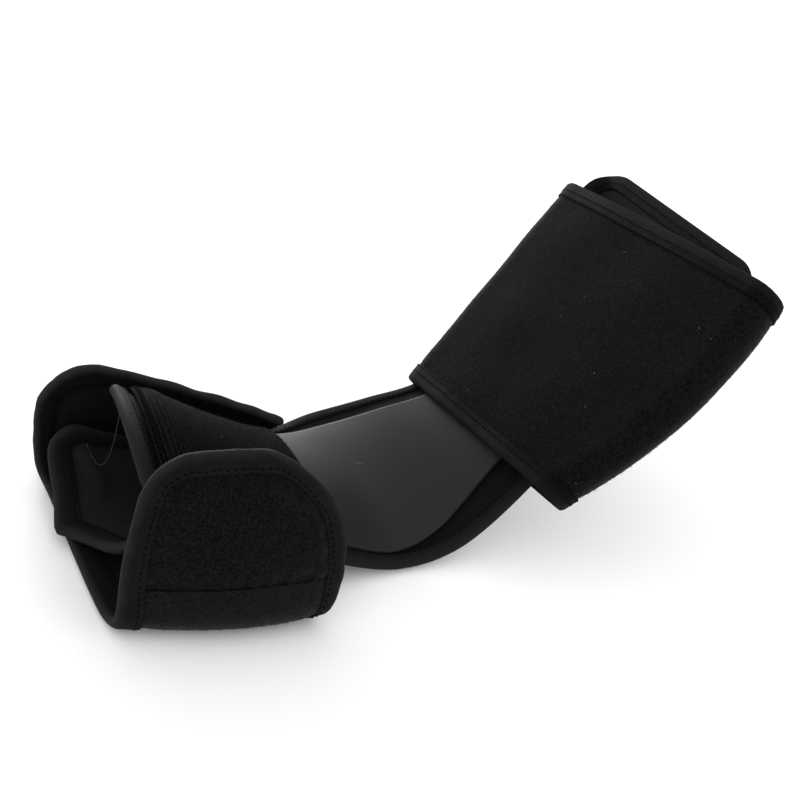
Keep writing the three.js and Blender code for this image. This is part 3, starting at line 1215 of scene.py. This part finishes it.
@dataclass
class BoundPanel:
    """A fabric panel with tape sewn round its edge."""

    name: str
    pattern: Pattern
    form: Form
    thickness: float
    upper: Finish
    lower: Finish
    tape: Finish = Tape()
    edge_inset: float = 1.8
    edge_rise: float = 7.0
    pressed: float = 0.45
    thinnest: float = 0.3

    def half_at(self, depth: Array) -> Array:
        """Gives half the panel's thickness at depths inside its outline."""
        half = self.thickness / 2
        under_tape = max(self.thinnest, half - self.pressed)
        low, high = self.pattern.tape - 0.5, self.pattern.tape + self.edge_rise
        return under_tape + (half - under_tape) * eased(depth, low, high)

    def build(self, stuffing: Stuffing | None = None) -> bpy.types.Object:
        """Makes the panel.

        Args:
            stuffing: How it swells, for a padded one.

        Returns:
            The panel.
        """
        net = self.pattern.grid(self.edge_inset)
        places = net.reshape(-1, 2)
        depth = self.pattern.depth(places)
        half = self.half_at(depth)
        skin = wall(net, self.form, half, -half)
        panel = made_object(self.name + "_cloth", skin, (self.upper, self.lower))
        if stuffing:
            height = self.form.points(places)[:, 2]
            lying = np.round(1 - eased(height, *stuffing.lying), 1)
            held = np.where(depth < self.pattern.tape, 1.0, lying)
            stuffing.swell(panel, np.concatenate([held, held]))
        refined(panel)
        return settle(panel, self.upper.slot, self.name)

    def bind(self) -> bpy.types.Object:
        """Makes the tape round the panel."""
        skin = tape_skin(self.pattern, self.form, self.thickness / 2)
        return trimming(self.name + "_tape", skin, self.tape, self.name.replace("_pad", "") + "_binding")

    def sew(self, insets: Sequence[float], stitch: Stitch = Stitch()) -> bpy.types.Object:
        """Sews rows of stitches round the panel, on both faces.

        Args:
            insets: How far inside the edge each row lies.
            stitch: The stitch.

        Returns:
            The stitches.
        """
        rows = []
        for inset in insets:
            run = self.pattern.loop(inset)
            height = float(self.half_at(np.array([inset]))[0])
            if inset < self.pattern.tape:
                height = self.thickness / 2 + TAPE_PROUD
            rows += [stitch.row(self.form, run, face.value * height) for face in Face]
        return trimming(self.name + "_stitches", joined(rows), Thread())

    def pile(self, seed: int, nap: Nap = Nap()) -> bpy.types.Object:
        """Grows loose fibre ends on the panel's upper face."""
        return trimming(self.name + "_nap", Pile().grow(self, seed), nap)


# Sub-assemblies


BODY_TABLE: Table = {
    "toe": ((-114, 55, 59), (-124, 3, 77), (-126, -52, 61)),
    "instep": ((-70, 41, 26), (-73, 1, 54), (-76, -57, 38)),
    "bend_foot": ((-21, 51, 12), (-22, 0, 29), (-22, -62, 12)),
    "bend": ((15, 62, 16), (14, -1, 19), (14, -64, 3.2)),
    "bend_leg": ((46, 58, 28), (47, -3, 27), (46, -65, 10.5)),
    "shin_low": ((76, 49, 43), (78, -6, 46), (84, -63, 43)),
    "shin_mid": ((94, 48, 62), (97, -5, 65), (102, -58, 61)),
    "shin_end": ((112, 46, 81), (116, -3, 83), (120, -53, 79)),
}


@dataclass
class Body:
    """The padded body, bent at the ankle, with the plate and the plush panel that holds the plate."""

    width: float = 122.0
    length: float = 272.0
    corner: float = 14.0
    tape: float = 8.0
    stitch_inset: float = 6.7
    plate_start: float = 22.0
    plate_end: float = 256.0
    plate_far_inset: float = 18.0
    plate_near_inset: float = 6.5
    plate_far_leg_inset: float = 20.0
    plate_near_leg_inset: float = 22.0
    plate_leg_from: float = 128.0
    plate_leg_to: float = 222.0
    plate_corner: float = 8.0
    plate_edge: float = 0.8
    plate_edge_deg: float = 50.0
    plate_smooth_deg: float = 40.0
    panel_start: float = 8.8
    panel_end: float = 105.0
    panel_rise_end: float = 12.0
    panel_inset: float = 10.0
    panel_bow: float = 6.0
    panel_corner: float = 8.0
    panel_edge: float = 3.0
    panel_edge_share: float = 0.55
    zigzag_margin: float = 4.0
    zigzag_step: float = 1.9
    zigzag_rows: tuple[float, float] = (1.6, 4.4)

    def build(self) -> None:
        """Builds and dresses the body."""
        self.form = RailForm(BODY_TABLE, self.width, self.length)
        self.build_pad()
        self.build_plate()
        self.build_panel()

    def build_pad(self) -> None:
        """Makes the padded body and its binding."""
        pattern = Pattern(self.width, self.length, (self.corner,) * 4, tape=self.tape)
        knit = Lining(name="body_knit", dark=0.0018, light=0.0045)
        tape = Tape(name="body_tape", dark=0.0045, light=0.015)
        pad = BoundPanel("body_pad", pattern, CurledForm(self.form), BODY_WALL, knit, knit, tape)
        pad.build()
        pad.bind()
        pad.sew((self.stitch_inset,))

    def plate_height(self) -> float:
        """Gives how far the plate's middle lies over the body's."""
        return BODY_WALL / 2 + LAYER_GAP + PLATE_WALL / 2

    def build_plate(self) -> None:
        """Makes the rigid plate from a grid laid on the body, thickened and rounded."""
        form = PlateForm(self)
        pattern = Pattern(form.width, form.length, (self.plate_corner,) * 4)
        bpy.ops.object.select_all(action="DESELECT")
        bpy.ops.mesh.primitive_grid_add(x_subdivisions=40, y_subdivisions=96, size=1)
        plate = bpy.context.active_object
        plate.name = "plate"
        mesh = plate.data
        shares = np.array([v.co[:2] for v in mesh.vertices]) + 0.5
        places = pattern.fill(shares[:, 0], shares[:, 1], 0.0)
        mesh.vertices.foreach_set("co", in_row(form.points(places)).astype(np.float32).ravel())
        corner_spots = np.array([loop.vertex_index for loop in mesh.loops])
        write_cloth(mesh, np.column_stack([places, 0 * places[:, 0]])[corner_spots])
        mesh.materials.append(Plastic().material())
        self.thicken(plate)
        settle(plate, Slot.PLASTIC, "shell_plate")

    def thicken(self, plate: bpy.types.Object) -> None:
        """Gives the plate its thickness and a rounded edge."""
        solid = plate.modifiers.new("wall", "SOLIDIFY")
        solid.thickness = PLATE_WALL * MM
        solid.offset = 0
        edge = plate.modifiers.new("edge", "BEVEL")
        edge.width = self.plate_edge * MM
        edge.segments = 3
        edge.limit_method = "ANGLE"
        edge.angle_limit = math.radians(self.plate_edge_deg)
        for modifier in (solid, edge):
            apply_modifier(plate, modifier.name)
        bpy.ops.object.shade_smooth_by_angle(angle=math.radians(self.plate_smooth_deg))

    def build_panel(self) -> None:
        """Makes the ribbed plush panel over the plate's foot end, with its zigzag seam."""
        form = PanelForm(self)
        pattern = Pattern(form.width, form.length, (self.panel_corner,) * 4, tape=0.0)
        plush = Plush(name="ribbed_plush", ribs=0.8, sheen=0.0, light=0.0085)
        panel = BoundPanel("foot_panel", pattern, form, PANEL_WALL, plush, Lining())
        net = pattern.grid(0.0)
        depth = pattern.depth(net.reshape(-1, 2))
        share = self.panel_edge_share + (1 - self.panel_edge_share) * eased(depth, 0.0, self.panel_edge)
        half = PANEL_WALL / 2 * share
        cloth = made_object("foot_panel_cloth", wall(net, form, half, -half), (plush, Lining()))
        refined(cloth)
        settle(cloth, Slot.PLUSH, "foot_panel")
        flat = (form.width * MM, form.length * MM)
        # painted shade: the panel's fibres are a darker copy of the nap, for the shade the far rim casts on
        # the panel
        panel.pile(5, Nap(name="panel_nap", dark=0.002, light=0.007))
        self.sew_zigzag(form)

    def sew_zigzag(self, form: Form) -> None:
        """Sews the zigzag along the panel's toe edge."""
        stitch = Stitch(width=0.55, height=0.4)
        spots = np.arange(int((form.width - 2 * self.zigzag_margin) / self.zigzag_step) + 1)
        x = self.zigzag_margin + spots * self.zigzag_step
        places = np.column_stack([x, np.where(spots % 2 == 0, *self.zigzag_rows)])
        skin = stitch.between(form, places[:-1], places[1:], PANEL_WALL / 2)
        trimming("foot_panel_zigzag", skin, Thread())


OUTER_WRAP_TABLE: Table = {
    "far_top": ((-144, 60, 77), (-77, 61, 53), (5, 65.5, 11.5)),
    "far_wall": ((-149, 67, 42), (-78, 69, 29), (-4, 69.5, 12)),
    "far_fold": ((-149, 63, 9), (-79, 68, 8), (-5, 67, 7)),
    "floor_far": ((-147, 50, WRAP_FLOOR), (-80, 55, WRAP_FLOOR), (-3, 55, WRAP_FLOOR)),
    "floor_mid": ((-147, 4, WRAP_FLOOR), (-82, -6, WRAP_FLOOR), (-14, -10, WRAP_FLOOR)),
    "floor_near": ((-146, -54, WRAP_FLOOR), (-87, -71, WRAP_FLOOR), (-48, -73, WRAP_FLOOR)),
    "near_fold": ((-144, -66, 9), (-89, -85, 10), (-43, -87, 11)),
    "near_wall": ((-141, -65, 44), (-90, -83, 46), (-38, -84, 43)),
    "near_top": ((-130, -58, 93), (-89, -60, 93), (-48, -64, 88)),
}

INNER_WRAP_TABLE: Table = {
    "root": ((-119, -45, 54.2), (-86, -48, 39.7), (-52, -52, 24.2)),
    "sag": ((-131, -38, 28), (-90, -36, 21), (-54, -36, 15)),
    "low": ((-140, -14, 13), (-96, -6, 11), (-56, -2, 10.5)),
    "crease": ((-150, 8, CREASE_HEIGHT), (-98, 20, CREASE_HEIGHT), (-58, 34, CREASE_HEIGHT)),
    "rise": ((-148, 28, 13.5), (-101, 39, 12.5), (-61, 46, 11.5)),
    "far_wall": ((-146, 50, 26), (-103, 53, 18), (-66, 54, 13)),
    "end": ((-141, 56, 44), (-108, 57, 27), (-68, 58, 16)),
}


@dataclass
class FootCuff:
    """The two padded wraps under the toe end: a wide outer one with a round flap, and an inner one."""

    body: Body
    outer_width: float = 110.0
    outer_length: float = 268.0
    outer_corners: tuple[float, float, float, float] = (36.0, 12.0, 34.0, 20.0)
    seam_at: float = 207.0
    inner_width: float = 88.0
    inner_length: float = 140.0
    inner_corners: tuple[float, float, float, float] = (12.0, 12.0, 20.0, 20.0)
    stitch_inset: float = 8.7
    thread: Thread = Thread(name="loose_thread", dark=0.015, light=0.06)
    thread_from: tuple[float, float] = (46.0, 4.0)
    thread_to: tuple[float, float] = (18.0, 127.5)
    thread_pull: tuple[float, float] = (-12.0, -38.0)
    thread_diameter: float = 0.5
    thread_points: int = 28

    def build(self) -> None:
        """Builds and dresses both wraps."""
        self.build_outer()
        self.build_inner()

    def build_outer(self) -> None:
        """Makes the outer wrap, plush outside and lined inside."""
        pattern = Pattern(self.outer_width, self.outer_length, self.outer_corners)
        rails = RailForm(OUTER_WRAP_TABLE, self.outer_width, self.outer_length, WRAP_FLOOR)
        form = SoftForm(rails, pattern, 0.9, 0.7, 11)
        # the outer wrap's plush carries painted bounce light below its seam
        plush = Plush(name="seamed_plush", seam_at=self.seam_at)
        # painted shade: the outer wrap's knit is a darker copy of the lining, for the shade inside the wrap
        knit = Lining(name="shaded_cuff_knit", dark=0.002, light=0.0052)
        # the cuff tape has painted shade on its inner half and a painted highlight along its roll
        tape = Tape(name="cuff_tape", dark=0.0035, light=0.0205, roll=6.5, inner_shade=0.35)
        wrap = BoundPanel("foot_wrap_outer", pattern, form, FOOT_WALL, plush, knit, tape)
        wrap.build(Stuffing())
        wrap.bind()
        wrap.sew((self.stitch_inset,))
        wrap.pile(21)

    def build_inner(self) -> None:
        """Makes the inner wrap, lined on both faces."""
        pattern = Pattern(self.inner_width, self.inner_length, self.inner_corners)
        rails = RailForm(INNER_WRAP_TABLE, self.inner_width, self.inner_length, CREASE_HEIGHT)
        form = CreasedForm(rails, pattern, 0.5, 0.5, 12)
        # painted light: the inner wrap's knit is a lighter copy of the lining, for light that reaches inside
        # the foot wraps
        knit = Lining(name="lit_wrap_knit", dark=0.0055, light=0.0125)
        tape = Tape(name="shaded_tape", dark=0.0032, light=0.0165, roll=7.0)
        wrap = BoundPanel("foot_wrap_inner", pattern, form, FOOT_WALL, knit, knit, tape)
        wrap.build(Stuffing())
        wrap.bind()
        wrap.sew((self.stitch_inset,))
        self.hang_thread(form)

    def hang_thread(self, inner: Form) -> None:
        """Hangs the loose loop of thread between the body's toe tape and the inner wrap.

        Args:
            inner: The inner wrap's middle.
        """
        under_tape = -BODY_WALL / 2 - TAPE_PROUD
        start = self.body.form.lifted(np.array([self.thread_from]), np.array([under_tape]))[0]
        end = inner.lifted(np.array([self.thread_to]), np.array([FOOT_WALL / 2]))[0]
        share = np.linspace(0, 1, self.thread_points)
        bottom = (start + end) / 2 + np.array((0.0, *self.thread_pull))
        weights = np.column_stack([(1 - share) ** 2, 2 * share * (1 - share), share**2])
        points = in_row(weights @ np.array((start, bottom, end)))
        curve = bpy.data.curves.new("loose_thread", "CURVE")
        curve.dimensions = "3D"
        curve.bevel_depth = self.thread_diameter / 2 * MM
        curve.bevel_resolution = 2
        spline = curve.splines.new("POLY")
        spline.points.add(len(points) - 1)
        spline.points.foreach_set("co", np.column_stack([points, np.ones(len(points))]).ravel())
        curve.materials.append(self.thread.material())
        thread = linked("loose_thread", curve)
        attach(thread, ROOT)


class CuffForm(Form):
    """A flattened tube round the leg, open at the back; its length runs round from the near back edge."""

    def __init__(self, cuff: "CalfCuff") -> None:
        """Takes the cuff's sizes."""
        self.cuff = cuff
        self.mean_fold = (cuff.low_depth + cuff.top_depth) / 4
        self.front_half = (cuff.low_width + cuff.top_width) / 4 - self.mean_fold
        self.fold_length = math.pi * self.mean_fold
        self.width = cuff.height
        self.length = 2 * (self.front_half + self.fold_length + cuff.back_return)

    def points(self, places: Array) -> Array:
        """Finds the points for flat places, one row each."""
        cuff = self.cuff
        x, y = places.T
        u = x / cuff.height
        fold, half = cuff.section(u)
        from_middle = y - self.length / 2
        side = np.sign(from_middle)
        reach = half + np.where(side < 0, cuff.near_belly * np.sin(math.pi * u), 0)
        past = np.abs(from_middle) - self.front_half
        share = np.abs(from_middle) / self.front_half
        turn = np.clip(past, 0, self.fold_length) / self.mean_fold
        front = past <= 0
        back = past > self.fold_length
        across = np.where(front, reach * share, reach + fold * np.sin(turn))
        across = np.where(back, reach - (past - self.fold_length), across)
        out = np.where(front, fold + cuff.front_crown * (1 - share**2), fold * np.cos(turn))
        return cuff.place(x, side * across, np.where(back, -fold, out))


class FlapForm(Form):
    """A flap inside the tube, behind its opening, that curls round in the far fold."""

    def __init__(self, cuff: "CalfCuff") -> None:
        """Takes the cuff's sizes."""
        self.cuff = cuff
        self.width = cuff.flap_width
        self.length = cuff.flap_high - cuff.flap_low

    def points(self, places: Array) -> Array:
        """Finds the points for flat places, one row each."""
        cuff = self.cuff
        x, y = places.T
        along = cuff.flap_low + y + cuff.flap_tilt * (x - self.width / 2)
        across = x - self.width / 2 + cuff.flap_shift
        fold, half = cuff.section(along / cuff.height)
        radius = fold - cuff.flap_inside
        turn = np.maximum(across - half, 0) / radius
        return cuff.place(along, np.minimum(across, half) + radius * np.sin(turn), -radius * np.cos(turn))


@dataclass
class CalfCuff:
    """The plush cuff folded flat round the leg end, and the flap over its open back."""

    rise_deg: float = 46.0
    skew_deg: float = 5.0
    base: Point = (80.0, -16.0, 44.0)
    height: float = 158.0
    low_width: float = 143.0
    top_width: float = 174.0
    near_belly: float = 12.0
    low_depth: float = 22.0
    top_depth: float = 25.0
    front_crown: float = 2.0
    back_return: float = 46.0
    corner: float = 13.0
    stitch_insets: tuple[float, float] = (6.2, 10.2)
    stitch: Stitch = Stitch(length=1.9, pitch=3.0)
    edge_rise: float = 4.0
    flap_low: float = 72.0
    flap_high: float = 179.0
    flap_width: float = 150.0
    flap_shift: float = 12.0
    flap_inside: float = 3.6
    flap_tilt: float = 0.12
    flap_corner: float = 22.0

    def place(self, along: Array, across: Array, out: Array) -> Array:
        """Finds points in the leg's own frame.

        Args:
            along: How far up the leg.
            across: How far towards the far side.
            out: How far out of the leg's front.

        Returns:
            The points, one row each.
        """
        rise = math.radians(self.rise_deg)
        up = Vector((math.cos(rise), 0, math.sin(rise)))
        front = Vector((-math.sin(rise), 0, math.cos(rise)))
        up.rotate(Matrix.Rotation(math.radians(self.skew_deg), 3, front))
        over = front.cross(up)
        return np.array(self.base) + np.outer(along, up) + np.outer(across, over) + np.outer(out, front)

    def section(self, share: Array) -> tuple[Array, Array]:
        """Gives the radius of the tube's folds and half the width between them, by the share up the tube."""
        fold = (self.low_depth + (self.top_depth - self.low_depth) * share) / 2
        return fold, (self.low_width + (self.top_width - self.low_width) * share) / 2 - fold

    def build(self) -> None:
        """Builds and dresses the cuff."""
        self.build_wrap()
        self.build_flap()

    def build_wrap(self) -> None:
        """Makes the plush wrap."""
        even = CuffForm(self)
        pattern = Pattern(even.width, even.length, (self.corner,) * 4)
        form = SoftForm(even, pattern, 0.3, 0.7, 31)
        wrap = BoundPanel(
            "calf_wrap", pattern, form, CALF_WALL, Plush(), Lining(), edge_rise=self.edge_rise
        )
        panel = wrap.build()
        trims = [wrap.bind(), wrap.sew(self.stitch_insets, self.stitch), wrap.pile(22)]
        flat = (even.width * MM, even.length * MM)

    def build_flap(self) -> None:
        """Makes the flap inside the wrap."""
        even = FlapForm(self)
        pattern = Pattern(even.width, even.length, (self.flap_corner,) * 4)
        flap = BoundPanel(
            "calf_back_flap", pattern, even, CALF_WALL, Plush(), Lining(), edge_rise=self.edge_rise
        )
        panel = flap.build()
        trims = [flap.bind(), flap.sew(self.stitch_insets[:1], self.stitch)]
        flat = (even.width * MM, even.length * MM)


@dataclass
class Studio:
    """The pale floor, the soft lights and the camera."""

    target: Point = (32.0, 0.0, 66.9)
    distance: float = 640.0
    view_deg: float = 38.0
    azimuth_deg: float = -34.05
    elevation_deg: float = 30.34
    roll_deg: float = 12.0
    floor_size: float = 12.0
    surround: float = 1.15
    lit_spot: Point = (0.0, 0.0, 0.06)

    def build(self) -> None:
        """Sets the studio up."""
        self.build_floor()
        self.build_lights()
        self.build_camera()

    def build_floor(self) -> None:
        """Lays the floor."""
        bpy.ops.object.select_all(action="DESELECT")
        bpy.ops.mesh.primitive_plane_add(size=self.floor_size)
        floor = bpy.context.active_object
        floor.name = "floor"
        shader = Shader("floor_paper")
        shader.feed("Base Color", (0.93, 0.93, 0.93, 1.0))
        shader.feed("Roughness", 0.9)
        shader.feed("Specular IOR Level", 0.1)
        floor.data.materials.append(shader.material)

    def build_lights(self) -> None:
        """Hangs the soft lights and sets a pale surround."""
        world = bpy.data.worlds.new("surround")
        world.use_nodes = True
        glow = world.node_tree.nodes["Background"].inputs
        glow["Color"].default_value = (1.0, 1.0, 1.0, 1.0)
        glow["Strength"].default_value = self.surround
        bpy.context.scene.world = world
        self.hang("back_light", (0.1, 1.4, 0.24), 0.6, 20.0)
        self.hang("front_light", (-0.3, -1.1, 0.9), 1.1, 2.0)

    def hang(self, name: str, at: Point, size: float, power: float) -> None:
        """Hangs one soft light that faces the splint.

        Args:
            name: The light's name.
            at: Where it hangs, in metres.
            size: Its width, in metres.
            power: Its power, in watts.
        """
        data = bpy.data.lights.new(name, "AREA")
        data.shape = "DISK"
        data.size = size
        data.energy = power
        light = linked(name, data)
        light.location = at
        way = Vector(self.lit_spot) - light.location
        light.rotation_euler = way.to_track_quat("-Z", "Y").to_euler()

    def build_camera(self) -> None:
        """Puts the camera at the photograph's angle, leaning as it does there."""
        data = bpy.data.cameras.new("camera")
        data.angle = math.radians(self.view_deg)
        camera = linked("camera", data)
        turn, lift = math.radians(self.azimuth_deg), math.radians(self.elevation_deg)
        flat = math.cos(lift)
        back = Vector((math.sin(turn) * flat, -math.cos(turn) * flat, math.sin(lift)))
        target = Vector(in_row(np.array(self.target)))
        camera.location = target + back * self.distance * MM
        level = (-back).to_track_quat("-Z", "Y")
        lean = Matrix.Rotation(math.radians(self.roll_deg), 3, "Z").to_quaternion()
        camera.rotation_mode = "QUATERNION"
        camera.rotation_quaternion = level @ lean
        bpy.context.scene.camera = camera
        bpy.context.scene.view_settings.view_transform = "Standard"


def main() -> None:
    """Builds the studio and the splint, piece by piece."""
    logging.basicConfig(level=logging.INFO, format="%(name)s: %(message)s")
    body = Body()
    for assembly in (Studio(), body, FootCuff(body), CalfCuff()):
        assembly.build()


if __name__ == "__main__":
    main()
